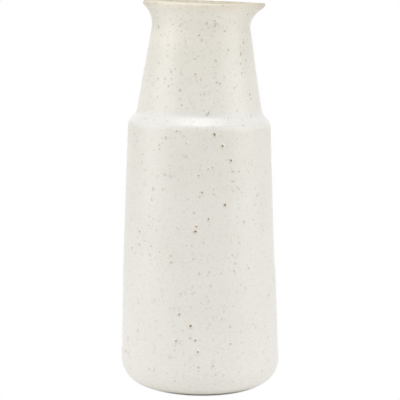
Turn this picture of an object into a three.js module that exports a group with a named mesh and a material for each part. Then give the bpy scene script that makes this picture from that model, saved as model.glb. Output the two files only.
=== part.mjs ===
// Stoneware pouring jug without a handle: a cast clay wall, glazed outside, round the lip and inside.
// Millimetres, +Z up. The origin is the centre of the foot, on the surface that the jug stands on.
// The spout points along +X.
import * as THREE from "three";

// Driving dimensions of the outside, measured over the glaze
const RIM_HEIGHT = 216.7; // top of the lip, before the rim leans towards the spout
const RIM_RADIUS = 32.7;
const LIP_THICKNESS = 3.1;
const FLARE_DROP = 8.8; // from the top of the lip down to where the flare leaves the neck
const NECK_TOP_RADIUS = 26.8; // where the lines of the neck and the flare would meet
const FLARE_ROUNDING = 13;
const NECK_FOOT_RADIUS = 35.3;
const NECK_FOOT_ROUNDING = 6;
const LEDGE_RISE = 5.7; // height of the sloping ledge between the body and the neck
const SHOULDER_RADIUS = 40.1;
const SHOULDER_HEIGHT = 149.7;
const SHOULDER_ROUNDING = 6;
const BODY_RADIUS = 45; // widest, just above the rounded base
const BASE_ROUNDING = 14;

// The wall, its coats and the foot
const CLAY_WALL = 4;
const FLOOR_THICKNESS = 4.5;
const GLAZE = 0.45;
const COAT_GAP = 0.15; // clearance between a coat of glaze and the clay that it lies on
const COAT_JOINT = 0.2; // clearance where the rim's coat meets the other two
const RIM_COAT_WIDTH = 2.2; // how far the rim's coat reaches down from the lip
const FOOT_RING_WIDTH = 5; // of the flat ring that the jug stands on
const RECESS_DEPTH = 1.5; // of the underside, inside the standing ring
const RECESS_BEVEL = 1.5;
const BARE_FOOT = 1.2; // height of the unglazed band above the surface

// What the maker's hand does to the turned form
const SPOUT_PULL = 4.8; // how far the lip is drawn out at the spout
const SPOUT_LIFT = 0.7; // how far the lip rises at the spout
const SPOUT_DEPTH = 13; // how far down from the rim the pull begins
const SPOUT_CURVE = 1.7; // above 1, most of the pull is at the lip
const SPOUT_NARROWNESS = 5; // higher is a narrower spout
const RIM_LEAN = THREE.MathUtils.degToRad(2.2); // the rim dips towards the spout
const LEAN_DEPTH = 125; // how far down from the rim the lean dies away

// Facets: round the axis, which is a multiple of 4 so that the widest points lie on the axes, and along
// each stretch of the outline
const TURN_STEPS = 40;
const BARE_STEPS = 2;
const BASE_STEPS = 5;
const WALL_STEPS = 4;
const SHOULDER_STEPS = 3;
const NECK_FOOT_STEPS = 2;
const NECK_STEPS = 3;
const FLARE_STEPS = 6;
const LIP_STEPS = 5;

const at = (radius, height) => new THREE.Vector2(radius, height);

// The arc that rounds the corner between two straight lines. It is tightened where the lines are short.
function roundCorner(before, corner, after, rounding) {
  const into = corner.clone().sub(before).normalize();
  const out = after.clone().sub(corner).normalize();
  const turn = Math.atan2(into.cross(out), into.dot(out));
  const reachOfOne = Math.tan(Math.abs(turn) / 2);
  const room = Math.min(corner.distanceTo(before), corner.distanceTo(after));
  const radius = Math.min(rounding, room / reachOfOne);
  const start = corner.clone().addScaledVector(into, -radius * reachOfOne);
  const centre = start.clone().addScaledVector(at(-into.y, into.x), Math.sign(turn) * radius);
  const from = Math.atan2(start.y - centre.y, start.x - centre.x);
  return new THREE.EllipseCurve(centre.x, centre.y, radius, radius, from, from + turn, turn < 0);
}

// The glazed outline, from the axis under the floor out and up to the lip
const lipRadius = LIP_THICKNESS / 2;
const lipCentre = at(RIM_RADIUS - lipRadius, RIM_HEIGHT - lipRadius);
const bodyTaper = (BODY_RADIUS - SHOULDER_RADIUS) / (SHOULDER_HEIGHT - BASE_ROUNDING);
const axisPoint = at(0, 0);
const baseCorner = at(BODY_RADIUS + bodyTaper * BASE_ROUNDING, 0);
const shoulder = at(SHOULDER_RADIUS, SHOULDER_HEIGHT);
const neckFoot = at(NECK_FOOT_RADIUS, SHOULDER_HEIGHT + LEDGE_RISE);
const neckTop = at(NECK_TOP_RADIUS, RIM_HEIGHT - FLARE_DROP);

// The flare is the line from the neck's top that just touches the round lip from below.
const toLip = lipCentre.clone().sub(neckTop);
const flareSlope = Math.atan2(toLip.y, toLip.x) - Math.asin(lipRadius / toLip.length());
const flareWay = at(Math.cos(flareSlope), Math.sin(flareSlope));
const lipEdge = neckTop.clone().addScaledVector(flareWay, Math.sqrt(toLip.lengthSq() - lipRadius ** 2));

const line = (from, to) => new THREE.LineCurve(from, to);
const start = (curve) => curve.getPoint(0);
const end = (curve) => curve.getPoint(1);
const midway = (from, to) => from.clone().lerp(to, 0.5);
const midWall = midway(baseCorner, shoulder);
const midLedge = midway(shoulder, neckFoot);
const midNeck = midway(neckFoot, neckTop);

const baseArc = roundCorner(axisPoint, baseCorner, midWall, BASE_ROUNDING);
const shoulderArc = roundCorner(midWall, shoulder, midLedge, SHOULDER_ROUNDING);
const neckFootArc = roundCorner(midLedge, neckFoot, midNeck, NECK_FOOT_ROUNDING);
const flareArc = roundCorner(midNeck, neckTop, lipEdge, FLARE_ROUNDING);
const flare = new THREE.CurvePath();
flare.add(flareArc);
flare.add(line(end(flareArc), lipEdge));
const rimCoatStart = 1 - RIM_COAT_WIDTH / flare.getLength(); // as shares of the flare's length
const glazeEnd = rimCoatStart - COAT_JOINT / flare.getLength();

// Depths below the glazed outline. The clay's inner face lies deeper under the floor than at the lip.
const coat = GLAZE + COAT_GAP;
const floorDepth = RECESS_DEPTH + FLOOR_THICKNESS;
const wallDepth = coat + CLAY_WALL;
const lipClay = LIP_THICKNESS - 2 * coat;
const lipDepth = coat + lipClay;

// Stations along a stretch of the outline, or between two shares of it: a point, its outward normal and
// the depth of the clay's inner face, which runs evenly from one end of the whole stretch to the other.
function stationsOn(curve, steps, [depthFrom, depthTo], [shareFrom, shareTo] = [0, 1]) {
  return Array.from({ length: steps + 1 }, (_, i) => {
    const share = THREE.MathUtils.lerp(shareFrom, shareTo, i / steps);
    const way = curve.getTangent(share);
    return {
      point: curve.getPoint(share),
      normal: at(way.y, -way.x),
      clayDepth: THREE.MathUtils.lerp(depthFrom, depthTo, share),
    };
  });
}

const level = (depth) => [depth, depth];
const bareAngle = Math.acos(1 - BARE_FOOT / baseArc.yRadius);
const bareShare = bareAngle / (baseArc.aEndAngle - baseArc.aStartAngle);
const baseDepths = [floorDepth, wallDepth];
const flareDepths = [wallDepth, lipDepth];

const floorStations = stationsOn(line(axisPoint, start(baseArc)), 1, level(floorDepth));
const bareStations = stationsOn(baseArc, BARE_STEPS, baseDepths, [0, bareShare]).slice(1, -1);
const wallStations = [
  ...stationsOn(baseArc, BASE_STEPS, baseDepths, [bareShare, 1]),
  ...stationsOn(line(end(baseArc), start(shoulderArc)), WALL_STEPS, level(wallDepth)).slice(1),
  ...stationsOn(shoulderArc, SHOULDER_STEPS, level(wallDepth)).slice(1),
  ...stationsOn(line(end(shoulderArc), start(neckFootArc)), 1, level(wallDepth)).slice(1),
  ...stationsOn(neckFootArc, NECK_FOOT_STEPS, level(wallDepth)).slice(1),
  ...stationsOn(line(end(neckFootArc), start(flareArc)), NECK_STEPS, level(wallDepth)).slice(1),
  ...stationsOn(flare, FLARE_STEPS, flareDepths, [0, glazeEnd]).slice(1),
];
const rimStations = stationsOn(flare, 1, flareDepths, [rimCoatStart, 1]);

// The faces that bound the clay and its coats, each as the depth at a station
const glazeFace = () => 0;
const glazeBack = () => GLAZE;
const clayOutside = () => coat;
const clayInside = (station) => station.clayDepth;
const linerBack = (station) => station.clayDepth + COAT_GAP;
const linerFace = (station) => station.clayDepth + coat;

const up = (stations, depthOf) =>
  stations.map((station) => station.point.clone().addScaledVector(station.normal, -depthOf(station)));
const down = (stations, depthOf) => up(stations, depthOf).reverse();

// The half round over the lip, from the outside to the inside.
function overLip(radius) {
  return Array.from({ length: LIP_STEPS }, (_, i) => {
    const angle = flareSlope - Math.PI / 2 + (Math.PI * (i + 1)) / (LIP_STEPS + 1);
    return lipCentre.clone().add(at(Math.cos(angle), Math.sin(angle)).multiplyScalar(radius));
  });
}

// A turned form is pulled out and up at the spout, and its upper rings lean towards it.
function shapeByHand(geometry) {
  const position = geometry.getAttribute("position");
  const point = new THREE.Vector3();
  for (let i = 0; i < position.count; i += 1) {
    point.fromBufferAttribute(position, i);
    const angle = Math.atan2(point.y, point.x);
    const radius = Math.hypot(point.x, point.y);
    const rise = Math.max(0, 1 - (RIM_HEIGHT - point.z) / SPOUT_DEPTH) ** SPOUT_CURVE;
    const lobe = ((1 + Math.cos(angle)) / 2) ** SPOUT_NARROWNESS;
    const drawn = radius + SPOUT_PULL * rise * lobe;
    const lifted = point.z + SPOUT_LIFT * rise * lobe;
    const lean = RIM_LEAN * Math.max(0, 1 - (RIM_HEIGHT - point.z) / LEAN_DEPTH);
    const x = drawn * Math.cos(angle);
    position.setXYZ(i, x, drawn * Math.sin(angle), lifted - x * Math.tan(lean));
  }
  geometry.computeVertexNormals();
  return geometry;
}

// A profile turned about the axis and shaped by hand, as a named piece.
function turnedPiece(name, profile, look) {
  const turned = new THREE.LatheGeometry(profile, TURN_STEPS).rotateX(Math.PI / 2);
  const piece = new THREE.Mesh(shapeByHand(turned), new THREE.MeshStandardMaterial(look));
  piece.name = name;
  return piece;
}

const closed = (profile) => [...profile, profile[0]];

// Clay: the recessed underside, the standing ring, the outside up to the lip, and the hollow inside.
const footRadius = start(baseArc).x;
const ringInside = footRadius - FOOT_RING_WIDTH;
const stonewareBody = turnedPiece(
  "stoneware_body",
  [
    at(0, RECESS_DEPTH),
    at(ringInside - RECESS_BEVEL, RECESS_DEPTH),
    at(ringInside, 0),
    at(footRadius, 0),
    ...up(wallStations, clayOutside),
    ...up(rimStations, clayOutside),
    ...overLip(lipClay / 2),
    ...down(rimStations, clayInside),
    ...down(wallStations, clayInside),
    ...down(bareStations, clayInside),
    ...down(floorStations, clayInside),
  ],
  { color: 0xb9a88f, roughness: 0.9, metalness: 0 },
);

// Matt speckled glaze on the outside, from the bare foot up to the rim's coat.
const outerGlaze = turnedPiece(
  "outer_glaze",
  closed([...up(wallStations, glazeFace), ...down(wallStations, glazeBack)]),
  { color: 0xe6e3da, roughness: 0.55, metalness: 0 },
);

// Thin warm glaze that wraps over the lip.
const rimGlaze = turnedPiece(
  "rim_glaze",
  closed([
    ...up(rimStations, glazeFace),
    ...overLip(lipRadius),
    ...down(rimStations, linerFace),
    ...up(rimStations, linerBack),
    ...overLip(lipClay / 2 + COAT_GAP).reverse(),
    ...down(rimStations, glazeBack),
  ]),
  { color: 0xd9cdb4, roughness: 0.5, metalness: 0 },
);

// Smooth liner glaze over the floor and the wall inside.
const insideStations = [...floorStations, ...bareStations, ...wallStations];
const linerGlaze = turnedPiece(
  "liner_glaze",
  [...up(insideStations, linerBack), ...down(insideStations, linerFace)],
  { color: 0xe2ded3, roughness: 0.35, metalness: 0 },
);

const jug = new THREE.Group();
jug.add(stonewareBody, outerGlaze, rimGlaze, linerGlaze);

export default jug;
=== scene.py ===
# %% [markdown]
# # A speckled stoneware jug
#
# A jug like this is one lump of fired clay with glass melted onto it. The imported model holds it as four
# closed solids: the clay, the glaze outside, the thin glaze over the lip, and the liner glaze inside.
# This lesson loads them as a fixed frame and puts a fine, smooth surface of the same sizes in the place
# of each. Then come the iron specks, the finishes and a plain studio.

import bpy
import numpy as np
from mathutils import Matrix, Vector


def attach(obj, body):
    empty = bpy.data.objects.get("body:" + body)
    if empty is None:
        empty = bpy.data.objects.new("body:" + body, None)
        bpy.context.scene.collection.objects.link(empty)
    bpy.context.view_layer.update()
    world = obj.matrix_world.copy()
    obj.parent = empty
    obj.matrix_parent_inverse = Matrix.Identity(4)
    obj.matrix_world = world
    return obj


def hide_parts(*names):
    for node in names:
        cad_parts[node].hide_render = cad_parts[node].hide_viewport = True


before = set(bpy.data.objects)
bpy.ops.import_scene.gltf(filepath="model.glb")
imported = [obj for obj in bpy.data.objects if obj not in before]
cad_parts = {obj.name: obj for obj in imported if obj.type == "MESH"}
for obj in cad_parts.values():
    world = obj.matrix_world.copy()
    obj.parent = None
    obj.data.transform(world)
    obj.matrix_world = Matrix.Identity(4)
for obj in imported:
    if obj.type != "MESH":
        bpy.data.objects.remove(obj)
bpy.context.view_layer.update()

MM = 0.001


print("nodes:", ", ".join(sorted(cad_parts)))

# %% [markdown]
# ## The camera
#
# The camera stands level with the rim and looks a little down. Its distance shows in the curves: the foot
# bends more than the shoulder, and the shoulder more than the rim, which is seen almost from the side.
# The spout points to the right and partly to the viewer, so the camera is turned about the jug and the
# jug stays as it is. A long lens, given here as a focal length in pixels of the 400-pixel frame, fills
# the picture with it.

# %% Set up the camera
CAMERA_AZIMUTH = np.radians(35)
CAMERA_DISTANCE = 800 * MM
CAMERA_HEIGHT = 216 * MM
CAMERA_SIDE = -0.7 * MM
CAMERA_PITCH = np.radians(7.904)
CAMERA_ROLL = np.radians(0.24)
FRAME_PIXELS = 400
FOCAL_PIXELS = 1421.8

scene = bpy.context.scene
camera = bpy.data.objects.new("camera", bpy.data.cameras.new("camera"))
scene.collection.objects.link(camera)
camera.data.lens = camera.data.sensor_width * FOCAL_PIXELS / FRAME_PIXELS
camera.matrix_world = (
    Matrix.Rotation(CAMERA_AZIMUTH, 4, "Z")
    @ Matrix.Translation((CAMERA_SIDE, -CAMERA_DISTANCE, CAMERA_HEIGHT))
    @ Matrix.Rotation(np.pi / 2 - CAMERA_PITCH, 4, "X")
    @ Matrix.Rotation(CAMERA_ROLL, 4, "Z")
)
scene.camera = camera
print("lens:", round(camera.data.lens, 1), "mm")

# %% [markdown]
# ## The outline
#
# A pot thrown on a wheel is one outline turned about an axis. The outline is a chain of straight lines
# with rounded corners: base, wall, shoulder, neck foot, neck and flare, up to a round lip. A point of it
# is a complex number here, with its distance from the axis as the real part and its height as the
# imaginary part. Turning a direction by an angle is then one multiplication, and rounding a corner takes
# a few lines.

# %% Sizes of the jug in millimetres
RIM_HEIGHT = 216.7
RIM_RADIUS = 32.7
LIP_THICKNESS = 3.1
FLARE_DROP = 8.8
NECK_TOP_RADIUS = 26.8
FLARE_ROUNDING = 13
NECK_FOOT_RADIUS = 35.3
NECK_FOOT_ROUNDING = 6
LEDGE_RISE = 5.7
SHOULDER_RADIUS = 40.1
SHOULDER_HEIGHT = 149.7
SHOULDER_ROUNDING = 6
BODY_RADIUS = 45
BASE_ROUNDING = 14

taper = (BODY_RADIUS - SHOULDER_RADIUS) / (SHOULDER_HEIGHT - BASE_ROUNDING)
axis = 0j
base_corner = complex(BODY_RADIUS + taper * BASE_ROUNDING, 0)
shoulder = complex(SHOULDER_RADIUS, SHOULDER_HEIGHT)
neck_foot = complex(NECK_FOOT_RADIUS, SHOULDER_HEIGHT + LEDGE_RISE)
neck_top = complex(NECK_TOP_RADIUS, RIM_HEIGHT - FLARE_DROP)
lip_radius = LIP_THICKNESS / 2
lip_centre = complex(RIM_RADIUS - lip_radius, RIM_HEIGHT - lip_radius)

# The flare ends where a line from the neck's top touches the round lip from below.
to_lip = lip_centre - neck_top
flare_slope = np.angle(to_lip) - np.arcsin(lip_radius / abs(to_lip))
flare_reach = np.sqrt(abs(to_lip) ** 2 - lip_radius**2)
lip_edge = neck_top + flare_reach * np.exp(1j * flare_slope)
print("body tapers by", round(np.degrees(np.arctan(taper)), 2), "degrees")
print("lip flares at", round(np.degrees(flare_slope), 1), "degrees above level")

# %% Corners, distances and even steps
def rounded(before, corner, after, radius, steps):
    """The arc that rounds a corner. It starts on the line, radius x tan(half the turn) before the corner,
    and its points turn about a centre that lies one radius beside that start."""
    into = (corner - before) / abs(corner - before)
    out = (after - corner) / abs(after - corner)
    turn = np.angle(out / into)
    start = corner - into * radius * np.tan(abs(turn) / 2)
    centre = start + 1j * np.sign(turn) * into * radius
    return centre + (start - centre) * np.exp(1j * np.linspace(0, turn, steps))


def lengths(points):
    """The distance along a chain of points, from its first point to each."""
    return np.concatenate([[0], np.cumsum(abs(np.diff(points)))])


def stretch(points, first, last, steps):
    """Even steps along a chain of points, from one distance along it to another."""
    return np.interp(np.linspace(first, last, steps), lengths(points), points)


# %% Chain the outline together
BARE_FOOT = 1.2
RIM_COAT_WIDTH = 2.2

mid_wall = (base_corner + shoulder) / 2
mid_ledge = (shoulder + neck_foot) / 2
mid_neck = (neck_foot + neck_top) / 2
base_arc = rounded(axis, base_corner, mid_wall, BASE_ROUNDING, steps=400)
base_length = lengths(base_arc)[-1]
bare_end = np.interp(BARE_FOOT, base_arc.imag, lengths(base_arc))
shoulder_arc = rounded(mid_wall, shoulder, mid_ledge, SHOULDER_ROUNDING, steps=14)
neck_foot_arc = rounded(mid_ledge, neck_foot, mid_neck, NECK_FOOT_ROUNDING, steps=12)
flare = np.append(rounded(mid_neck, neck_top, lip_edge, FLARE_ROUNDING, steps=200), lip_edge)
flare_length = lengths(flare)[-1]

bare_part = stretch(base_arc, 0, bare_end, steps=9)
glazed_part = np.concatenate([
    stretch(base_arc, bare_end, base_length, steps=34)[1:],
    np.linspace(base_arc[-1], shoulder_arc[0], num=80)[1:-1],
    shoulder_arc,
    np.linspace(shoulder_arc[-1], neck_foot_arc[0], num=6)[1:-1],
    neck_foot_arc,
    np.linspace(neck_foot_arc[-1], flare[0], num=36)[1:-1],
    stretch(flare, 0, flare_length - RIM_COAT_WIDTH, steps=24),
])
rim_part = stretch(flare, flare_length - RIM_COAT_WIDTH, flare_length, steps=10)[1:]
outline = np.concatenate([bare_part, glazed_part, rim_part])
bare = slice(0, len(bare_part))
glazed = slice(bare.stop - 1, bare.stop + len(glazed_part))
rimmed = slice(glazed.stop - 1, len(outline))
below_rim = slice(0, glazed.stop)
print("outline:", len(outline), "points,", round(lengths(outline)[-1], 1), "mm long")

# %% [markdown]
# ## Clay, glaze and liner as depths
#
# Every layer of the jug follows the same outline at its own depth below it. The glaze is little more than
# half a millimetre thick, the clay 4 mm, and the floor somewhat more. The way out of the wall is the
# outline's own direction turned by a right angle, so a layer is the outline moved in by its depth. The
# glaze ends in a rolled edge above the foot, because a potter wipes the foot clean: glaze there would
# stick to the kiln shelf.

# %% Work out the layers
COAT = 0.6
CLAY_WALL = 4
FLOOR_THICKNESS = 4.5
RECESS_DEPTH = 1.5
GLAZE_ROLL = 1.6

step = np.gradient(outline)
outward = -1j * step / abs(step)
distance = lengths(outline)
wall_depth = COAT + CLAY_WALL
floor_depth = RECESS_DEPTH + FLOOR_THICKNESS
lip_depth = LIP_THICKNESS - COAT
depth_stations = [0, base_length, distance[-1] - flare_length, distance[-1]]
clay_depth = np.interp(distance, depth_stations, [floor_depth, wall_depth, wall_depth, lip_depth])


def layer(part, depth):
    """A part of the outline, moved into the wall by a depth, which may differ from point to point."""
    return outline[part] - outward[part] * depth


def over_lip(radius, steps):
    """The half circle over the lip, from its outer edge to its inner edge."""
    turns = flare_slope - np.pi / 2 + np.linspace(0, np.pi, steps)
    return lip_centre + radius * np.exp(1j * turns)


roll_share = np.clip((distance[glazed] - distance[glazed][0]) / GLAZE_ROLL, 0, 1)
roll_depth = COAT * (1 - np.sqrt(1 - (1 - roll_share) ** 2))
bare_depth = COAT * np.linspace(0, 1, len(bare_part))
print("clay in the wall and the lip:", CLAY_WALL, "and", round(lip_depth - COAT, 1), "mm thick")

# %% [markdown]
# ## The potter's hand
#
# A fingertip draws the rim out to a small spout while the clay is wet, and the whole rim leans down a
# little towards it. On the camera's side the rim also dips by less than a millimetre. The wall isn't
# quite true either: it wanders a tenth of a millimetre in and out, it swells by a third of one low on the
# body, and the axis bows by about a millimetre. A modifier could do this, but a formula on every point
# keeps all the layers nested, because each is moved in the same way.

# %% Sizes of the hand's work
SPOUT_PULL = 4.8
SPOUT_DEPTH = 13
SPOUT_CURVE = 1.7
SPOUT_NARROWNESS = 5
SPOUT_LIFT = 0.7
RIM_DIP = 0.75
DIP_TURN = np.radians(-40)
DIP_NARROWNESS = 6
RIM_LEAN = np.radians(2.2)
LEAN_DEPTH = 125
AXIS_BOW = 1.3
BOW_HEIGHT = 235
BODY_SWELL = 0.35
SWELL_HEIGHT = 56
SWELL_SPREAD = 32
# Each wave of the wander has a size, a count of humps round the pot, a length up the wall, and a start.
WANDER = [(0.10, 2, 130, 0.4), (0.06, 3, 75, 2.1), (0.035, 5, 48, 4.0), (0.02, 8, 27, 1.3)]
print("waves in the wall:", len(WANDER))

# %% Lean, bow and lobe
def lean_at(height):
    """The angle by which the pot leans at a height: nothing below the lean's depth, all of it at the rim."""
    return RIM_LEAN * np.clip(1 - (RIM_HEIGHT - height) / LEAN_DEPTH, 0, 1)


def bow_at(height):
    """How far the axis stands aside at a height, in x and y: a half sine wave, to the camera's left."""
    aside = -AXIS_BOW * np.sin(np.pi * height / BOW_HEIGHT)
    return aside * np.cos(CAMERA_AZIMUTH), aside * np.sin(CAMERA_AZIMUTH)


def lobe(turn, middle=0.0, narrowness=SPOUT_NARROWNESS):
    """A hump in a turn about the axis: half of 1 + cos(turn - its middle), raised to its narrowness."""
    return ((1 + np.cos(turn - middle)) / 2) ** narrowness


# %% Shape the turned form by hand
def by_hand(points, turn):
    """Points of the outline, turned about the axis and shaped by hand, in metres.

    Wander: each wave adds size x sin(count x turn + 2 pi x height / length + start) to the radius.
    Swell: the lower wall grows by swell x exp(-(height from its middle / its spread)^2).
    Spout: near the rim the radius grows by pull x rise x lobe, where rise is (share of the depth) ^ curve,
    and the rim goes up by lift x rise x lobe.
    Dip: on one side the rim goes down by dip x rise x a lobe of its own.
    Lean: a point sinks by its x times the tangent of an angle that grows from the neck up to the rim.
    Bow: the axis moves sideways by a half sine wave of the height."""
    radius = np.real(points)
    height = np.imag(points)
    phase = 2 * np.pi * height
    waves = sum(
        size * np.sin(count * turn + phase / length + start)
        for size, count, length, start in WANDER
    )
    swell = BODY_SWELL * np.exp(-(((height - SWELL_HEIGHT) / SWELL_SPREAD) ** 2))
    spread = np.clip(radius / NECK_TOP_RADIUS, 0, 1)
    rise = np.clip(1 - (RIM_HEIGHT - height) / SPOUT_DEPTH, 0, 1) ** SPOUT_CURVE
    drawn = radius + (waves + swell) * spread + SPOUT_PULL * rise * lobe(turn)
    lift = rise * (SPOUT_LIFT * lobe(turn) - RIM_DIP * lobe(turn, DIP_TURN, DIP_NARROWNESS))
    bow_x, bow_y = bow_at(height)
    x = drawn * np.cos(turn)
    y = drawn * np.sin(turn)
    z = height + lift - x * np.tan(lean_at(height))
    return np.stack([x + bow_x, y + bow_y, z], axis=-1) * MM


spout_tip = by_hand(over_lip(lip_radius, steps=25), 0.0)
print("spout reaches", round(spout_tip[:, 0].max() / MM, 1), "mm from the axis")

# %% [markdown]
# ## From a profile to a mesh
#
# Blender's Screw modifier could turn a profile, but it knows nothing of the hand shaping. So each piece
# is a grid of points: its rows follow the profile and its columns go round. A profile that closes on
# itself makes a shell like a ring, and one that runs from axis to axis is closed by a fan of triangles at
# each pole. Where a coat ends at a corner, its row of edges is marked sharp, so that the shading doesn't
# smear round the corner.

# %% Put points and faces into Blender
def new_piece(name, points, faces, values):
    """A smooth mesh object that rides on the jug, with named values on its points."""
    mesh = bpy.data.meshes.new(name)
    mesh.from_pydata(points, [], faces)
    mesh.shade_smooth()
    for label, numbers in values.items():
        attribute = mesh.attributes.new(label, "FLOAT", "POINT")
        attribute.data.foreach_set("value", np.asarray(numbers, dtype=np.float32))
    piece = bpy.data.objects.new(name, mesh)
    scene.collection.objects.link(piece)
    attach(piece, "root")
    print(name + ":", len(mesh.vertices), "points,", len(mesh.polygons), "faces")
    return piece


# %% Faces between the points of a grid
COLUMNS = 240
column = np.arange(COLUMNS)
beside = (column + 1) % COLUMNS
column_turn = np.linspace(0, 2 * np.pi, COLUMNS, endpoint=False)


def ring_quads(rows, closed):
    """Quads between the neighbours of a grid, listed round first and then up, so that they face outwards."""
    row = np.arange(rows if closed else rows - 1)[:, None]
    above = (row + 1) % rows
    corners = [
        row * COLUMNS + column,
        row * COLUMNS + beside,
        above * COLUMNS + beside,
        above * COLUMNS + column,
    ]
    return np.stack(corners, axis=-1).reshape(-1, 4)


def pole_fans(last):
    """Triangles from the first point to the ring after it, and from the last point to the ring before it."""
    last_ring = last - COLUMNS
    first_fan = np.stack([0 * column, 1 + beside, 1 + column], axis=-1)
    last_fan = np.stack([0 * column + last, last_ring + column, last_ring + beside], axis=-1)
    return np.concatenate([first_fan, last_fan])


# %% Turn a profile about the axis
ON_AXIS = 1e-6


def mark_sharp(mesh, rows, skipped):
    """Marks the edges that run round in the given rows of a mesh, whose rows start after the skipped
    points."""
    ends = np.empty(2 * len(mesh.edges), dtype=np.int32)
    mesh.edges.foreach_get("vertices", ends)
    row_of_end = (ends.reshape(-1, 2) - skipped) // COLUMNS
    same_row = row_of_end[:, 0] == row_of_end[:, 1]
    mesh.edges.foreach_set("use_edge_sharp", same_row & np.isin(row_of_end[:, 0], rows))


def turned(name, profile, values, sharp=()):
    """A closed piece: a profile carried round the axis and shaped by hand. Its values are columns of one
    number for each row, or grids of one for each row and turn. A profile whose two ends lie on the axis is
    closed by a fan at each pole, and any other is closed on itself."""
    has_poles = abs(profile[0].real) + abs(profile[-1].real) < ON_AXIS
    points = by_hand(profile[:, None], column_turn).reshape(-1, 3)
    values = {label: np.broadcast_to(v, (len(profile), COLUMNS)).ravel() for label, v in values.items()}
    if has_poles:
        # The first and the last row are the poles, and one point of each is enough.
        one_per_pole = slice(COLUMNS - 1, len(points) - COLUMNS + 1)
        points = points[one_per_pole]
        values = {label: v[one_per_pole] for label, v in values.items()}
        quads = ring_quads(len(profile) - 2, closed=False) + 1
        faces = quads.tolist() + pole_fans(len(points) - 1).tolist()
    else:
        faces = ring_quads(len(profile), closed=True)
    piece = new_piece(name, points, faces, values)
    mark_sharp(piece.data, np.asarray(sharp, dtype=int) - has_poles, has_poles)
    return piece


# %% [markdown]
# ## Where the glaze is thin, and where shade is painted
#
# Molten glaze runs off edges. Near the lip it is a little thinner and creamier. In places it is so thin that
# the brown clay shows through: along the crest and inside the lip, at the tip of the spout, and at the
# rolled edge above the foot. The same brown is also painted shade: inside the lip, most of all on the far
# side, under the spout beside its tip, on two flanks of the flare, and at the rolled edge, where it deepens
# the dark line at the table. These are two numbers from 0 to 1 on each point, one for the thin glaze and one
# for the wear with its painted shade, so the finishes of neighbouring coats meet without a seam.

# %% Measure the thinness, the wear and the painted shade
RIM_FADE = 4
FOOT_FADE = 9
FOOT_THINNESS = 0.6
# Just above the foot the brown is partly thin glaze on the rolled edge and partly painted shade, which
# deepens the dark line where the jug meets the table.
FOOT_WEAR_AND_SHADE_FADE = 4.5
LINER_FADE = 7
# At the spout the brown is partly thin glaze on the tip and partly painted shade under the spout, so its
# middle lies a little past the tip, away from the camera.
TIP_WEAR_AND_SHADE = 0.7
TIP_TURN = np.radians(20)
TIP_NARROWNESS = 22
# Along the crest and inside the lip the brown is worn glaze, evenly all round. On top of that it is painted
# shade: most on the far side of the inside, which faces the camera, and at the two flanks.
EVEN_WEAR = 0.45
FAR_TURN = np.radians(125)
FAR_NARROWNESS = 2
# The two flanks of the flare, at its sides as the camera sees them, get painted shade: the worn brown
# darkens the ends of the flare there.
FLANK_SHADE = 0.5
FLANK_TURNS = np.radians([14, -130])
FLANK_NARROWNESS = 26
FLANK_DEPTH = 22


def fading(share):
    """1 where the share is 0 or less, 0 where it is 1 or more, and a smooth run between."""
    share = np.clip(share, 0, 1)
    return 1 - share**2 * (3 - 2 * share)


below_crest = distance[-1] - distance
from_foot = np.clip((distance - distance[glazed.start]) / FOOT_FADE, 0, 1)
rim_thin = fading(below_crest / RIM_FADE)
thin = np.maximum(rim_thin, FOOT_THINNESS * (1 - from_foot))
tip_wear_and_shade = TIP_WEAR_AND_SHADE * lobe(column_turn, TIP_TURN, TIP_NARROWNESS)
foot_wear_and_shade = fading((distance - distance[glazed.start]) / FOOT_WEAR_AND_SHADE_FADE)
flanks = sum(lobe(column_turn, turn, FLANK_NARROWNESS) for turn in FLANK_TURNS)
flank_shade = FLANK_SHADE * flanks
crest_shade_share = np.minimum(lobe(column_turn, FAR_TURN, FAR_NARROWNESS) + flanks, 1)
crest_wear_and_shade = EVEN_WEAR + (1 - EVEN_WEAR) * crest_shade_share
flank_shade_down_flare = fading(below_crest / FLANK_DEPTH)[:, None] * flank_shade
# The outside's brown: thin glaze at the tip and at the foot, with painted shade at the tip, on the flanks
# and just above the foot.
outside_wear_and_shade = np.maximum(np.maximum(rim_thin[:, None] * tip_wear_and_shade, flank_shade_down_flare), foot_wear_and_shade[:, None])
inside_wear_and_shade = fading((below_crest - RIM_COAT_WIDTH) / LINER_FADE)[:, None] * crest_wear_and_shade
print("thinness where the flare meets the lip's coat:", round(float(thin[rimmed.start]), 2))

# %% [markdown]
# ## The outer glaze
#
# On the real jug this is one coat, poured or sprayed from the foot to the lip. Here it is a closed shell:
# up the outside along the outline, and back down against the clay in wider steps, because nobody sees
# that side.

# %% Make the outer glaze
BACK_STRIDE = 4

glaze_face = layer(glazed, roll_depth)
glaze_back = layer(glazed, COAT)[:0:-BACK_STRIDE]
outer_glaze = turned(
    "glaze_skin",
    np.concatenate([glaze_face, glaze_back]),
    {
        "thin": np.concatenate([thin[glazed], thin[glazed][:0:-BACK_STRIDE]])[:, None],
        "wear_and_shade": np.concatenate([outside_wear_and_shade[glazed], outside_wear_and_shade[glazed][:0:-BACK_STRIDE]]),
    },
    sharp=[0, len(glaze_face) - 1, len(glaze_face)],
)
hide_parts("outer_glaze")

# %% [markdown]
# ## The coat over the lip
#
# The lip is a full round, as a wet finger leaves it. Its coat goes up the last of the flare, over the
# round, and down inside to where the liner starts, and then back along the clay.

# %% Make the lip's coat
LIP_STEPS = 25
INNER_LIP_STEPS = 9
WEAR_AND_SHADE_STARTS = -0.6
WEAR_AND_SHADE_ENDS = 2.2

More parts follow.
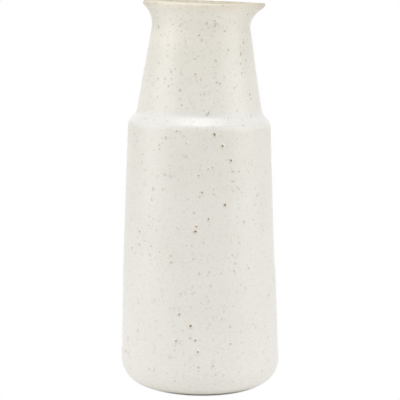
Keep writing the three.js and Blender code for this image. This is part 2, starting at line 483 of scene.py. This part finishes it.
lip_face = np.concatenate([
    layer(rimmed, 0)[:-1],
    over_lip(lip_radius, LIP_STEPS),
    layer(rimmed, clay_depth[rimmed] + COAT)[-2::-1],
])
lip_back = np.concatenate([
    layer(rimmed, clay_depth[rimmed])[:-1:BACK_STRIDE],
    over_lip(lip_radius - COAT, INNER_LIP_STEPS)[::-1],
    layer(rimmed, COAT)[:-1:BACK_STRIDE][::-1],
])
lip_profile = np.concatenate([lip_face, lip_back])
past_crest = len(lip_profile) - len(rim_part) - LIP_STEPS
# Over the crest the brown comes in: worn glaze along the crest, and inside the lip the painted shade of the
# far side and the flanks.
over_crest = 1 - fading(np.linspace(WEAR_AND_SHADE_STARTS, WEAR_AND_SHADE_ENDS, LIP_STEPS))
lip_wear_and_shade = np.concatenate([np.zeros(len(rim_part)), over_crest, np.ones(past_crest)])[:, None]
lip_thin = np.concatenate([thin[rimmed][:-1], np.ones(LIP_STEPS + past_crest)])[:, None]
lip_coat = turned(
    "lip_coat",
    lip_profile,
    {
        "thin": lip_thin,
        "wear_and_shade": np.maximum(lip_wear_and_shade * crest_wear_and_shade, lip_thin * np.maximum(tip_wear_and_shade, flank_shade)),
    },
    sharp=[0, len(lip_face) - 1, len(lip_face), len(lip_profile) - 1],
)
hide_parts("rim_glaze")

# %% [markdown]
# ## The liner
#
# The liner is poured in and tipped out again, so it covers the floor, the wall and the neck up to the
# lip's coat. Its profile starts on the axis under the liner, goes up against the clay, and comes back
# down on the side that the drink touches.

# %% Make the liner
INSIDE_STRIDE = 2
FLOOR_STEPS = 14


def inner_side(part, extra):
    """The inner side of the clay, or deeper by an extra depth: from the axis along the floor, and then up
    the wall."""
    wall = layer(part, clay_depth[part] + extra)
    floor = np.linspace(complex(0, wall[0].imag), wall[0], FLOOR_STEPS)
    return np.concatenate([floor[:-1], wall])


liner_face = inner_side(below_rim, COAT)[::-1]
liner_back = inner_side(below_rim, 0)
liner_back = np.append(liner_back[:-1:INSIDE_STRIDE], liner_back[-1])
# The top of the liner carries the lip's brown down inside: worn glaze, with painted shade on the far inside
# wall and at the flanks.
liner = turned(
    "liner",
    np.concatenate([liner_back, liner_face]),
    {
        "wear_and_shade": np.concatenate([
            np.zeros((len(liner_back), COLUMNS)),
            inside_wear_and_shade[below_rim][::-1],
            np.zeros((FLOOR_STEPS - 1, COLUMNS)),
        ]),
    },
    sharp=[len(liner_back) - 1, len(liner_back)],
)
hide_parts("liner_glaze")

# %% [markdown]
# ## The clay
#
# The clay shows only at the foot: a bare standing ring, the curve above it up to the glaze, and the
# recess that the potter turned into the base so that the jug stands on a ring and doesn't rock. The
# profile starts in the middle of the recess, goes up the outside and over the lip, and ends in the middle
# of the floor.

# %% Make the clay
FOOT_RING_WIDTH = 5
RECESS_BEVEL = 1.5
EDGE_ROUNDING = 0.6

foot_edge = outline[0]
ring_inside = foot_edge - FOOT_RING_WIDTH
recess_edge = ring_inside - RECESS_BEVEL + 1j * RECESS_DEPTH
recess_middle = 1j * RECESS_DEPTH
recess_arc = rounded(recess_middle, recess_edge, ring_inside, EDGE_ROUNDING, steps=6)
ring_arc = rounded(recess_edge, ring_inside, foot_edge, EDGE_ROUNDING, steps=6)
clay_outside = layer(slice(bare.stop, len(outline) - 1), COAT)[::INSIDE_STRIDE]
clay_inside = inner_side(slice(0, len(outline)), 0)[::-1]
clay_profile = np.concatenate([
    np.linspace(recess_middle, recess_arc[0], num=10)[:-1],
    recess_arc,
    ring_arc,
    np.linspace(ring_arc[-1], foot_edge, num=5)[1:-1],
    layer(bare, bare_depth),
    clay_outside,
    over_lip(lip_radius - COAT, INNER_LIP_STEPS),
    clay_inside[1:-1:INSIDE_STRIDE],
    clay_inside[-1:],
])
clay = turned("clay", clay_profile, {})
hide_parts("stoneware_body")

# %% [markdown]
# ## The boldest iron specks
#
# Grains of iron in the clay melt through the glaze in the kiln and bleed into it. The fine ones are left to
# the shader, but the boldest are seen one by one, so each is a shallow lens of its own that sits in the
# glaze. Some of those seen from the camera are listed by their radius in millimetres, with their places in
# the picture in pixels. A ray from the camera through the pixel meets the glaze, and undoing the hand
# shaping there gives a turn and a distance along the outline.

# %% Find the boldest specks on the glaze
SEEN_SPECKS = {
    1.02: [(190.5, 326), (195.5, 231.5), (225, 205), (214.5, 134.5)],
    0.94: [(231, 160.5), (222.5, 146)],
    0.80: [(176, 341), (195.5, 340.5), (179, 314.5), (196.5, 226.5), (208.5, 219), (198, 352), (202, 192.5)],
    0.66: [
        (166, 137.5), (177, 131), (198.5, 175.5), (171, 262), (190.5, 338), (198.5, 367), (208.5, 113),
        (215.5, 25.5), (199, 35.5), (158.5, 28), (241, 53), (216, 60.5), (195.5, 74), (233.5, 171.5),
    ],
}


def seen_on_glaze(pixel_x, pixel_y):
    """The distance along the outline and the turn where a pixel of the picture shows the glaze."""
    from_centre = Vector((pixel_x - FRAME_PIXELS / 2, FRAME_PIXELS / 2 - pixel_y, -FOCAL_PIXELS))
    ray = (camera.matrix_world.to_3x3() @ from_centre).normalized()
    met, spot, _, _ = outer_glaze.ray_cast(camera.matrix_world.translation, ray)
    x, y, z = np.array(spot) / MM
    bow_x, bow_y = bow_at(z)
    height = z + (x - bow_x) * np.tan(lean_at(z))
    return np.interp(height, outline.imag, distance), np.arctan2(y - bow_y, x - bow_x), met


bpy.context.view_layer.update()
found = np.array([seen_on_glaze(x, y) for places in SEEN_SPECKS.values() for x, y in places])
seen_size = np.repeat(list(SEEN_SPECKS), [len(places) for places in SEEN_SPECKS.values()])
print("specks found on the glaze:", int(found[:, 2].sum()), "of", len(found))

# %% [markdown]
# The side away from the camera gets as many bold specks, and the whole pot gets smaller ones, thrown like
# dice. The dice have a fixed seed, so the jug is the same each time. Equal shares of the area, and not of
# the height, keep the neck and the body evenly sprinkled.

# %% Sprinkle the other specks
SMALL_SPECKS = 250
SMALL_SIZES = (0.32, 0.66)
EDGE_MARGIN = 4

dice = np.random.default_rng(seed=3)
area = np.cumsum(outline.real[glazed] * np.gradient(distance[glazed]))
viewed_turn = CAMERA_AZIMUTH - np.pi / 2


def sprinkled(count):
    """Distances along the outline that give each stretch of it specks in proportion to its area."""
    margins = [distance[glazed.start] + EDGE_MARGIN, distance[rimmed.start] - EDGE_MARGIN]
    least, most = np.interp(margins, distance[glazed], area)
    return np.interp(dice.uniform(least, most, count), area, distance[glazed])


back_turn = viewed_turn + np.pi + dice.uniform(-1, 1, len(seen_size)) * np.pi / 2
small_turn = dice.uniform(0, 2 * np.pi, SMALL_SPECKS)
small_size = dice.uniform(*SMALL_SIZES, SMALL_SPECKS)
speck_along = np.concatenate([found[:, 0], sprinkled(len(seen_size)), sprinkled(SMALL_SPECKS)])
speck_turn = np.concatenate([found[:, 1], back_turn, small_turn])
speck_size = np.concatenate([seen_size, dice.permutation(seen_size), small_size])
smallest, largest = speck_size.min(), speck_size.max()
print("specks:", len(speck_size), "from", round(smallest, 2), "to", round(largest, 2), "mm in radius")

# %% [markdown]
# A speck isn't a true circle, and its edge is soft where the iron has bled. Each is a small wheel of
# points: a middle, three rings, a wide faint ring for the bleeding, and a point below that closes it. The
# middle stands two hundredths of a millimetre proud and the outer ring lies just under the glaze, so that
# the speck fades into it.

# %% Shape each speck as a wheel of points
RING_SHARES = np.array([0.0, 0.4, 0.7, 1.0, 2.4, 0.0])
RING_LIFTS = np.array([0.02, 0.019, 0.017, 0.014, -0.008, -0.2])
SIDES = 10
OVAL = 0.16
THREE_SIDED = 0.10


def any_turn():
    """A random turn for each speck, in a column."""
    return dice.uniform(0, 2 * np.pi, (len(speck_size), 1))


side = np.arange(SIDES) * 2 * np.pi / SIDES
shape = 1 + OVAL * np.sin(2 * side + any_turn()) + THREE_SIDED * np.sin(3 * side + any_turn())
reach = (speck_size[:, None] * shape)[:, None, :] * RING_SHARES[None, :, None]
round_about = reach * np.cos(side) / np.interp(speck_along, distance, outline.real)[:, None, None]
along = speck_along[:, None, None] + reach * np.sin(side)
level = np.interp(along, distance, outline) + np.interp(along, distance, outward) * RING_LIFTS[None, :, None]
wheel = by_hand(level, speck_turn[:, None, None] + round_about)
print("iron bleeds up to", round(reach.max(), 1), "mm from the middle of a speck")

# %% Join the wheels with faces
# Each wheel keeps one middle point, its four rings and one point below. The first and the last ring have
# collapsed to one point, so they lose the rest.
rings = len(RING_SHARES) - 2
kept = np.concatenate([[0], np.arange(SIDES, (rings + 1) * SIDES + 1)])
last_ring = 1 + (rings - 1) * SIDES
ring = np.arange(SIDES)
after = (ring + 1) % SIDES
fan = np.stack([0 * ring, 1 + ring, 1 + after], axis=-1)
band = 1 + np.stack([ring, SIDES + ring, SIDES + after, after], axis=-1)
bands = [k * SIDES + band for k in range(rings - 1)]
under = np.stack([0 * ring + len(kept) - 1, last_ring + after, last_ring + ring], axis=-1)
offsets = len(kept) * np.arange(len(speck_size))[:, None, None]
triangles = (np.concatenate([fan, under])[None] + offsets).reshape(-1, 3).tolist()
quads = (np.concatenate(bands)[None] + offsets).reshape(-1, 4).tolist()
print("points of one speck:", len(kept))

# %% Make the iron specks
RING_IRON = np.array([1.0, 0.95, 0.45, 0.06, 0.0, 0.0])
IRON_GROWTH = 0.8
RUSTY_SPECKS = 2
BOLD_RUST = 0.8
MOST_RUST = 0.6
RUST_RARITY = 4

boldness = (speck_size / largest) ** IRON_GROWTH
speck_iron = np.outer(boldness, np.repeat(RING_IRON, SIDES)[kept]).ravel()
rustiness = MOST_RUST * dice.random(len(speck_size)) ** RUST_RARITY
rustiness[:RUSTY_SPECKS] = BOLD_RUST
iron_specks = new_piece(
    "iron_specks",
    wheel.reshape(len(speck_size), -1, 3)[:, kept].reshape(-1, 3),
    triangles + quads,
    {
        "iron": speck_iron,
        "rust": np.repeat(rustiness, len(kept)),
        "thin": np.interp(along, distance, thin).reshape(len(speck_size), -1)[:, kept].ravel(),
    },
)

# %% [markdown]
# ## Writing shaders as sums
#
# A node tree is a formula, so it is written as one. A wire stands for one output of a node. A sum, a
# difference, a product, a quotient or a comparison of wires adds the Math node that does it, and so does
# 1 - wire. node() adds any other node: its settings first, then what goes into its sockets.

# %% A class for shader formulas
class Wire:
    """One output of a node tree, or just the tree, with which Python can reckon."""

    def __init__(self, tree, socket=None):
        self.tree = tree
        self.socket = socket

    def node(self, kind, settings=None, inputs=None, output=0):
        """Adds a node, sets it, and fills its sockets with numbers, colours or other wires."""
        made = self.tree.nodes.new(kind)
        for name, value in (settings or {}).items():
            setattr(made, name, value)
        for name, value in (inputs or {}).items():
            if isinstance(value, Wire):
                self.tree.links.new(value.socket, made.inputs[name])
            else:
                made.inputs[name].default_value = value
        return Wire(self.tree, made.outputs[output] if made.outputs else None)

    def other(self, output):
        """Another output of the same node."""
        return Wire(self.tree, self.socket.node.outputs[output])

    def math(self, operation, first, second):
        """One Math node on two numbers or wires."""
        return self.node("ShaderNodeMath", {"operation": operation}, {0: first, 1: second})

    def __add__(self, value):
        return self.math("ADD", self, value)

    def __radd__(self, value):
        return self.math("ADD", value, self)

    def __sub__(self, value):
        return self.math("SUBTRACT", self, value)

    def __rsub__(self, value):
        return self.math("SUBTRACT", value, self)

    def __mul__(self, value):
        return self.math("MULTIPLY", self, value)

    def __rmul__(self, value):
        return self.math("MULTIPLY", value, self)

    def __truediv__(self, value):
        return self.math("DIVIDE", self, value)

    def __rtruediv__(self, value):
        return self.math("DIVIDE", value, self)

    def __lt__(self, value):
        return self.math("LESS_THAN", self, value)


# %% Colours and smooth steps
def srgb(red, green, blue):
    """A colour as a picture program shows it, 0 to 255, in the linear numbers that Blender takes. A dark
    share is divided by 12.92, and any other becomes ((share + 0.055) / 1.055) ^ 2.4."""
    share = np.array([red, green, blue]) / 255
    linear = np.where(share <= 0.04045, share / 12.92, ((share + 0.055) / 1.055) ** 2.4)
    return (*linear.tolist(), 1.0)


def ease(value, low, high):
    """0 below low, 1 above high and a smooth run between."""
    return value.node(
        "ShaderNodeMapRange",
        {"interpolation_type": "SMOOTHSTEP"},
        {"Value": value, "From Min": low, "From Max": high},
    )


def mix(share, first, second):
    """A colour between two others. Socket 0 is the share, 6 and 7 are the colours, and output 2 is the
    result."""
    return share.node("ShaderNodeMix", {"data_type": "RGBA"}, {0: share, 6: first, 7: second}, 2)


# %% Clouds and specks
SPECK_SIZES = (0.6, 1.4)
SOLID_MIDDLE = 0.2


def cloud(place, size, detail=2):
    """Soft noise from 0 to 1 with spots of about the given size in millimetres."""
    sockets = {"Vector": place, "Scale": 1 / (size * MM), "Detail": detail}
    return place.node("ShaderNodeTexNoise", {}, sockets)


def specks(place, spacing, radius, share):
    """Round specks, 1 in the middle and 0 outside. The pot is cut into random cells a spacing apart, in
    millimetres; each cell throws dice for whether it holds a speck and for its size."""
    cells = place.node("ShaderNodeTexVoronoi", {}, {"Vector": place, "Scale": 1 / (spacing * MM)})
    thrown = place.node("ShaderNodeSeparateColor", {}, {"Color": cells.other("Color")})
    low, high = SPECK_SIZES
    size = (low + (high - low) * thrown.other("Green")) * (radius / spacing)
    return (1 - ease(cells / size, SOLID_MIDDLE, 1)) * (thrown < share)


# %% Start and end a material
def new_material(name):
    """An empty material, and a wire on its tree."""
    material = bpy.data.materials.new(name)
    material.use_nodes = True
    material.node_tree.nodes.clear()
    return material, Wire(material.node_tree)


def finish(sheet, colour, roughness, relief, depth):
    """Ends a material: a shader with this colour and roughness, and a bump from this relief, whose depth is
    in millimetres."""
    normal = sheet.node("ShaderNodeBump", {}, {"Height": relief, "Distance": depth * MM})
    shader = sheet.node(
        "ShaderNodeBsdfPrincipled",
        {},
        {"Base Color": colour, "Roughness": roughness, "Normal": normal},
    )
    sheet.node("ShaderNodeOutputMaterial", {}, {"Surface": shader})


# %% [markdown]
# ## The glaze
#
# The glaze is an off-white glass that has gone slightly matt as it cooled. It isn't one colour: it pools and
# thins in soft clouds a few centimetres wide. It is whiter low on the body and creamier up the neck. On the
# ledge a cooler white is a painted highlight, and in the hollow under the flare a paler white is painted
# light. A fine mottle runs through it, and it is peppered with iron, from dust to grains of a millimetre.
# Where it is thin the clay warms it, and its brown is also painted shade in a few places.

# %% Colours of the glaze
THIN_GLAZE = srgb(240, 233, 217)
# A brown for worn glaze, also used as painted shade.
WORN_AND_SHADED_GLAZE = srgb(184, 175, 156)
NECK_GLAZE = srgb(229, 225, 213)
# Painted highlight: a cooler, neutral white that gives the ledge the colour of its highlight.
LEDGE_PAINTED_HIGHLIGHT = srgb(230, 230, 228)
# Painted light: a paler white that lifts the shade in the hollow under the flare.
HOLLOW_PAINTED_LIGHT = srgb(248, 243, 231)
# A whiter glaze towards the foot of the body.
LOWER_BODY_WHITE = srgb(244, 242, 236)
SPECK_BROWN = srgb(118, 91, 54)
IRON_BROWN = srgb(84, 66, 34)
IRON_RUST = srgb(120, 80, 44)
IRON_HALO = srgb(232, 206, 140)

# A tint has a colour, a share and two pairs of heights in millimetres: it comes in between the first two
# and goes out between the other two. Without the first pair it starts at the foot, and without the second
# it stays up to the lip.
TINTS = [
    (NECK_GLAZE, 0.6, (150, 195), None),
    # On the ledge a cooler white, as the painted colour of a highlight.
    (LEDGE_PAINTED_HIGHLIGHT, 0.6, (147, 152), (154.5, 158)),
    # In the hollow under the flare a paler white, as painted light that lifts the shade there.
    (HOLLOW_PAINTED_LIGHT, 0.65, (187, 202), (208, 215.5)),
    (LOWER_BODY_WHITE, 0.5, None, (0, 140)),
]
print("tints of the glaze by height:", len(TINTS))

# %% Sizes and shares in the glaze
WIDE_CLOUDS = 32
FINE_CLOUDS = 2.2
MOTTLE_CLOUDS = 1.2
PIT_CLOUDS = 0.7
WIDE_SHARE = 0.75
CLOUD_RANGE = (0.3, 0.7)
MOTTLE_SHARE = 0.1
MOTTLE_RANGE = (0.5, 0.75)
THIN_RANGE = (0.1, 0.6)
WEAR_AND_SHADE_RANGE = (0.3, 0.6)
WEAR_AND_SHADE_EVENLY = 0.75
HALO_SHARE = 0.2
IRON_SHARE = 0.85
IRON_STARTS = 0.1

# Specks of one kind have a spacing and a radius in millimetres, a share of the cells that hold one, and a
# strength. The last two numbers are what the neck adds to that share and that strength.
DUST = (1.3, 0.12, 0.6, 0.3, 0, 0)
VEILED = (3.4, 1.0, 0.4, 0.10, 0.5, 0)
PEPPER = (2.5, 0.6, 0.22, 0.27, 0.3, 0)
GRAINS = (4.0, 0.95, 0.3, 0.22, 0.4, 0.12)
NECK_SPECKS = (152, 168)

# How much each thing adds to the roughness, and to the height of the relief.
ROUGHER = {"fine": 0.10, "grains": 0.08, "iron": 0.1, "wear_and_shade": 0.15}
RAISED = {"fine": 0.6, "pits": 0.4, "pepper": -0.3, "grains": -0.4}
RELIEF_DEPTH = 0.03
print("kinds of specks in the glaze:", len([DUST, VEILED, PEPPER, GRAINS]))

# %% [markdown]
# The same recipe gives the outer coat, the lip and the liner, and only the whites and the gloss differ.
# The specks made as geometry use it too, with the iron that their points carry. Every part of the recipe
# is a mix of the colour so far with another one.

# %% Mix the glaze
def glaze(name, bright, dull, gloss):
    """A glaze: clouds between two whites, tints by height, among them a painted highlight and painted light,
    thin places, worn places that also carry painted shade, a fine mottle, four kinds of specks, and bold
    iron with a halo."""
    material, sheet = new_material(name)
    place = sheet.node("ShaderNodeTexCoord", output="Object")
    height_here = sheet.node("ShaderNodeSeparateXYZ", {}, {0: place}, "Z") / MM
    neck_share = ease(height_here, *NECK_SPECKS)
    iron, rust, thin_here, wear_and_shade_here = [
        sheet.node("ShaderNodeAttribute", {"attribute_name": label}, output="Fac")
        for label in ("iron", "rust", "thin", "wear_and_shade")
    ]

    fine = cloud(place, FINE_CLOUDS, detail=4)
    clouds = WIDE_SHARE * cloud(place, WIDE_CLOUDS) + (1 - WIDE_SHARE) * fine
    colour = mix(ease(clouds, *CLOUD_RANGE), dull, bright)
    for tint, share, comes, goes in TINTS:
        if comes:
            share = share * ease(height_here, *comes)
        if goes:
            share = share * (1 - ease(height_here, *goes))
        colour = mix(share, colour, tint)
    # The brown of worn glaze is also painted shade, inside the lip, on the flanks, under the spout and at
    # the foot.
    patchy = WEAR_AND_SHADE_EVENLY + (1 - WEAR_AND_SHADE_EVENLY) * ease(fine, *WEAR_AND_SHADE_RANGE)
    colour = mix(thin_here * ease(fine, *THIN_RANGE), colour, THIN_GLAZE)
    colour = mix(wear_and_shade_here * patchy, colour, WORN_AND_SHADED_GLAZE)

    mottle = ease(cloud(place, MOTTLE_CLOUDS), *MOTTLE_RANGE)
    colour = mix(MOTTLE_SHARE * mottle, colour, SPECK_BROWN)
    kinds = []
    for spacing, radius, share, strength, more, bolder in (DUST, VEILED, PEPPER, GRAINS):
        kinds.append(specks(place, spacing, radius, share + more * neck_share))
        colour = mix((strength + bolder * neck_share) * kinds[-1], colour, SPECK_BROWN)
    colour = mix(HALO_SHARE * ease(iron, 0, IRON_STARTS), colour, IRON_HALO)
    colour = mix(IRON_SHARE * ease(iron, IRON_STARTS, 1), colour, mix(rust, IRON_BROWN, IRON_RUST))

    parts = {"fine": fine, "pits": cloud(place, PIT_CLOUDS), "pepper": kinds[2], "grains": kinds[3]}
    parts.update({"iron": iron, "wear_and_shade": wear_and_shade_here})
    roughness = sum((amount * parts[label] for label, amount in ROUGHER.items()), gloss)
    relief = sum(amount * parts[label] for label, amount in RAISED.items())
    finish(sheet, colour, roughness, relief, RELIEF_DEPTH)
    return material


# %% Give each coat its glaze
BODY_WHITES = (srgb(234, 231, 223), srgb(230, 227, 218))
LINER_WHITES = (srgb(228, 223, 212), srgb(221, 215, 202))
BODY_GLOSS = 0.28
LINER_GLOSS = 0.22

speckled = glaze("speckled_glaze", *BODY_WHITES, BODY_GLOSS)
warm_lip = glaze("thin_lip_glaze", *BODY_WHITES, BODY_GLOSS)
lining = glaze("liner_glaze", *LINER_WHITES, LINER_GLOSS)
coats = [(outer_glaze, speckled), (iron_specks, speckled), (lip_coat, warm_lip), (liner, lining)]
for piece, material in coats:
    piece.data.materials.append(material)
print("glazes:", speckled.name, warm_lip.name, lining.name)

# %% [markdown]
# ## Bare clay
#
# Fired without glaze, the clay is dry, sandy and buff, with dark and pale grains. On the real jug the
# standing ring is rubbed smooth, because the jug slides on it; here it takes the same finish as the rest of
# the clay.

# %% Mix the bare clay
DARK_BUFF = srgb(164, 142, 114)
PALE_BUFF = srgb(196, 176, 148)
PALE_SAND = srgb(222, 208, 184)
DARK_SAND = srgb(74, 60, 46)
CLAY_CLOUDS = 14
SAND_SIZE = 0.5
SAND_SHARE = 0.4
PALE_SHARE = 0.5
DARK_SHARE = 0.75
DRYNESS = 0.78
SAND_ROUGHNESS = 0.16
SAND_DEPTH = 0.08


def bare_clay():
    """Buff clay: clouds between two buffs, sand in pale and dark grains, and a dry grainy surface."""
    material, sheet = new_material("bare_stoneware")
    place = sheet.node("ShaderNodeTexCoord", output="Object")
    sand = cloud(place, SAND_SIZE, detail=4)
    clouds = (1 - SAND_SHARE) * cloud(place, CLAY_CLOUDS, detail=3) + SAND_SHARE * sand
    pale = specks(place, spacing=1.1, radius=0.16, share=0.5)
    dark = specks(place, spacing=2.0, radius=0.24, share=0.6)
    colour = mix(ease(clouds, *CLOUD_RANGE), DARK_BUFF, PALE_BUFF)
    colour = mix(PALE_SHARE * pale, colour, PALE_SAND)
    colour = mix(DARK_SHARE * dark, colour, DARK_SAND)
    finish(sheet, colour, DRYNESS + SAND_ROUGHNESS * sand, sand, SAND_DEPTH)
    return material


clay.data.materials.append(bare_clay())
print("clay finish:", clay.data.materials[0].name)

# %% [markdown]
# ## The studio
#
# A pale table under soft light. Away from the jug the table goes to pure white, by a glow that only the
# camera and reflections see, so that it adds no light. The glow comes in close to the foot, under the
# round base, and a little later on the right, where the shadow is deeper. Under the foot the table stays
# a real surface, which takes the soft dark line.

# %% Lay the floor
FLOOR_RADIUS = 4.0
FLOOR_SIDES = 96
FLOOR_WHITE = 0.9
PURE_WHITE = (1, 1, 1, 1)
GLOW_ASIDE = 0.6 * MM
GLOW_STARTS = 32.4 * MM
GLOW_FULL = 35.0 * MM


def seen_directly(sheet):
    """1 for rays from the camera, in reflections and through glass, and 0 for rays that carry soft light."""
    path = sheet.node("ShaderNodeLightPath", output="Is Camera Ray")
    return path.math("MINIMUM", path + path.other("Is Glossy Ray") + path.other("Is Transmission Ray"), 1)


def floor_material():
    """White paint that turns into a white glow with the distance from the jug."""
    material, sheet = new_material("pale_floor")
    place = sheet.node("ShaderNodeTexCoord", output="Object")
    middle = (GLOW_ASIDE * np.cos(CAMERA_AZIMUTH), GLOW_ASIDE * np.sin(CAMERA_AZIMUTH), 0)
    away = sheet.node("ShaderNodeVectorMath", {"operation": "DISTANCE"}, {0: place, 1: middle}, "Value")
    glow_share = ease(away, GLOW_STARTS, GLOW_FULL)
    paint = sheet.node("ShaderNodeBsdfDiffuse", {}, {"Color": (FLOOR_WHITE, FLOOR_WHITE, FLOOR_WHITE, 1)})
    glow = sheet.node("ShaderNodeEmission", {}, {"Color": PURE_WHITE, "Strength": 1})
    both = sheet.node("ShaderNodeMixShader", {}, {0: seen_directly(sheet) * glow_share, 1: paint, 2: glow})
    sheet.node("ShaderNodeOutputMaterial", {}, {"Surface": both})
    return material


floor_turn = np.linspace(0, 2 * np.pi, FLOOR_SIDES, endpoint=False)
floor_rim = FLOOR_RADIUS * np.stack([np.cos(floor_turn), np.sin(floor_turn), 0 * floor_turn], axis=-1)
floor_mesh = bpy.data.meshes.new("floor")
floor_mesh.from_pydata(floor_rim, [], [list(range(len(floor_rim)))])
floor_mesh.materials.append(floor_material())
floor = bpy.data.objects.new("floor", floor_mesh)
scene.collection.objects.link(floor)
print("floor:", FLOOR_RADIUS, "m in radius, white from", round(GLOW_FULL / MM, 1), "mm off the middle")

# %% [markdown]
# ## The light
#
# A white room gives some of the light. Two wide softboxes stand to the left and right, so the sides of
# the round body are a little brighter than its front, and two boxes overhead catch the ledge of the
# shoulder. Weaker ones in front and behind fill in. A box is given by how bright it looks, so its size
# can change without its glare.

# %% Light the room
ROOM_LIGHT = 0.26

world = bpy.data.worlds.new("white_room")
scene.world = world
world.use_nodes = True
world.node_tree.nodes.clear()
sky = Wire(world.node_tree)
room_strength = ROOM_LIGHT + (1 - ROOM_LIGHT) * seen_directly(sky)
room = sky.node("ShaderNodeBackground", {}, {"Color": PURE_WHITE, "Strength": room_strength})
sky.node("ShaderNodeOutputWorld", {}, {"Surface": room})
print("strength of the room's light:", ROOM_LIGHT)

# %% Place the softboxes
AIM = Vector((0, 0, 110 * MM))
# Watts for each square metre of a box with a brightness of 1.
PANEL_WATTS = 4

# A softbox has an azimuth from the camera and an elevation in degrees, a distance, a width and a height in
# metres, and a brightness.
SOFTBOXES = {
    "left_box": (-74, 12, 1.1, 0.8, 1.1, 1.59),
    "right_box": (72, 12, 1.1, 0.8, 1.1, 1.5),
    "ledge_box": (0, 66, 1.0, 0.4, 0.5, 1.95),
    "ceiling_box": (0, 88, 1.1, 0.9, 0.9, 2.24),
    "front_box": (0, 3, 1.0, 1.0, 0.5, 0.35),
    "back_box": (180, 3, 1.0, 0.5, 0.8, 0.7),
}


def softbox(name, azimuth, elevation, far, width, height, brightness):
    """A panel of light at an azimuth from the camera, to the right, and an elevation, facing the jug."""
    turn = CAMERA_AZIMUTH + np.radians(azimuth)
    rise = np.radians(elevation)
    towards = Vector((np.sin(turn) * np.cos(rise), -np.cos(turn) * np.cos(rise), np.sin(rise)))
    panel = bpy.data.lights.new(name, "AREA")
    panel.shape = "RECTANGLE"
    panel.size = width
    panel.size_y = height
    panel.energy = PANEL_WATTS * brightness * width * height
    lamp = bpy.data.objects.new(name, panel)
    facing = towards.to_track_quat("Z", "Y").to_matrix().to_4x4()
    lamp.matrix_world = Matrix.Translation(AIM + far * towards) @ facing
    scene.collection.objects.link(lamp)


for name, numbers in SOFTBOXES.items():
    softbox(name, *numbers)

scene.view_settings.view_transform = "Standard"
